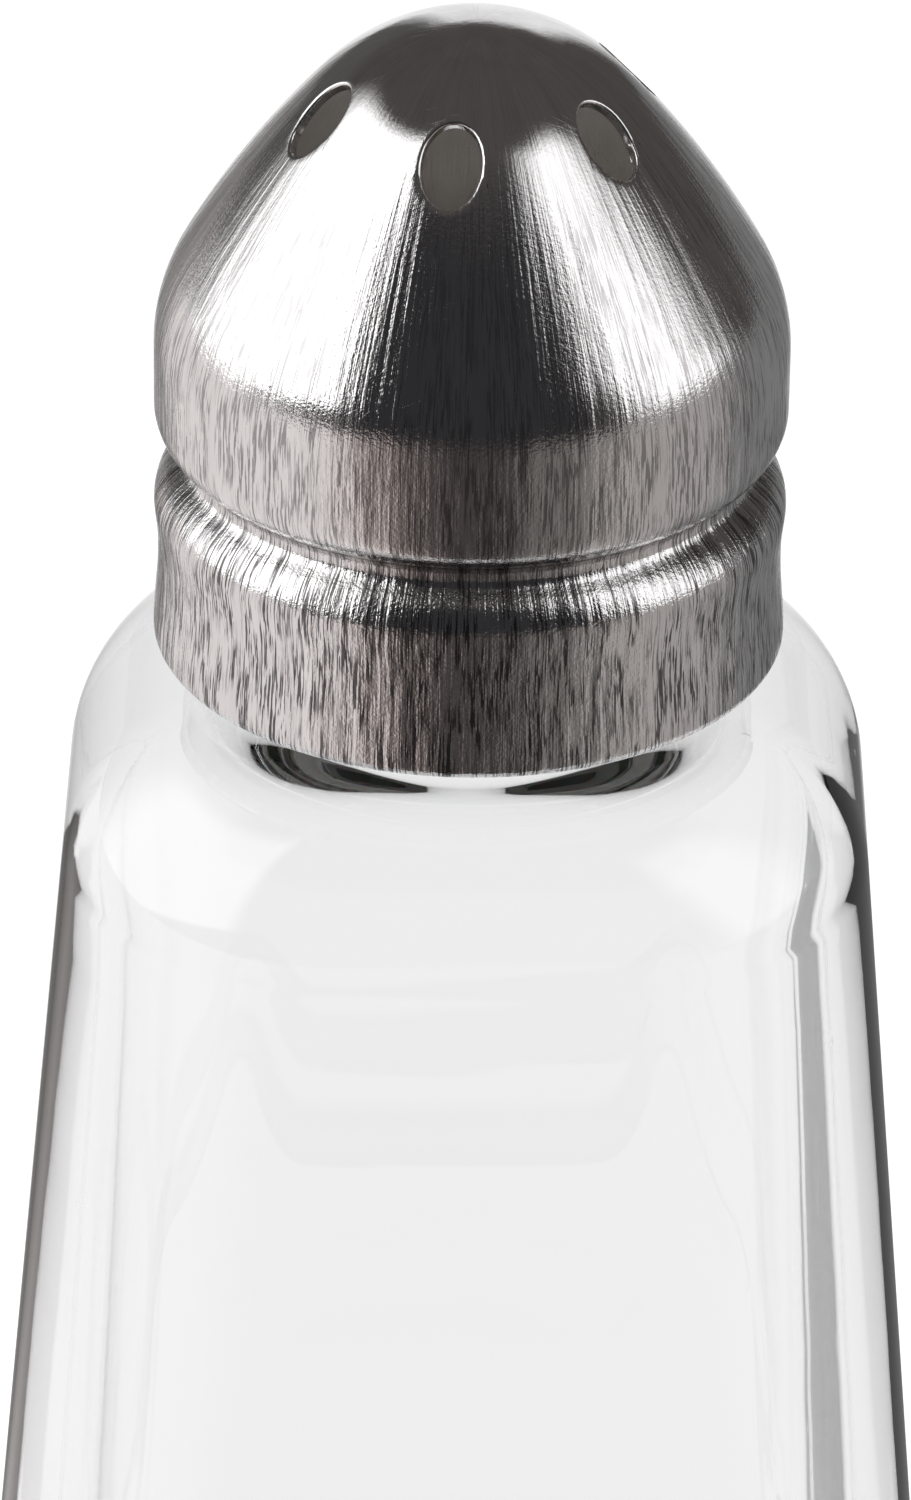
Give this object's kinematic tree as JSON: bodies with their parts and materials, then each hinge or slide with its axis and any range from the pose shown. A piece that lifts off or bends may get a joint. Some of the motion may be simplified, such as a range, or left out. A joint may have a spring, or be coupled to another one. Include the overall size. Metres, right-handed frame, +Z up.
{
  "type": "spice shaker",
  "caption": "Square tapered clear glass spice shaker with a domed, pierced metal cap that unscrews from a round threaded neck.",
  "frame": {"origin": "centre of the square foot, on the plane the shaker stands on", "axes": "+Z up along the axis of the jar, neck and cap; +X and +Y square to the flats of the jar; the first shaker hole stands 8 degrees from -Y towards -X when the cap is tight"},
  "size_m": [0.0462, 0.0462, 0.1054],
  "materials": {
    "clear_glass": "clear pressed glass, fire polished",
    "liner_plastic": "natural moulded polypropylene, milky",
    "drawn_steel": "drawn and polished stainless sheet with fine draw lines"
  },
  "bodies": {
    "jar": {"glass_jar": "clear_glass"},
    "liner": {"thread_liner": "liner_plastic"},
    "cap": {"cap_shell": "drawn_steel"}
  },
  "joints": [
    {"name": "cap_lift", "type": "slide", "parent": "jar", "child": "liner", "axis": [0, 0, 1], "range_m": [0, 0.0127]},
    {"name": "cap_turn", "type": "hinge", "parent": "liner", "child": "cap", "pos_m": [0, 0, 0.0769], "axis": [0, 0, 1], "range_deg": [0, 1440]}
  ],
  "couplings": [
    {"joint": "cap_lift", "follows": "cap_turn", "m_per_rad": 0.0005053}
  ]
}
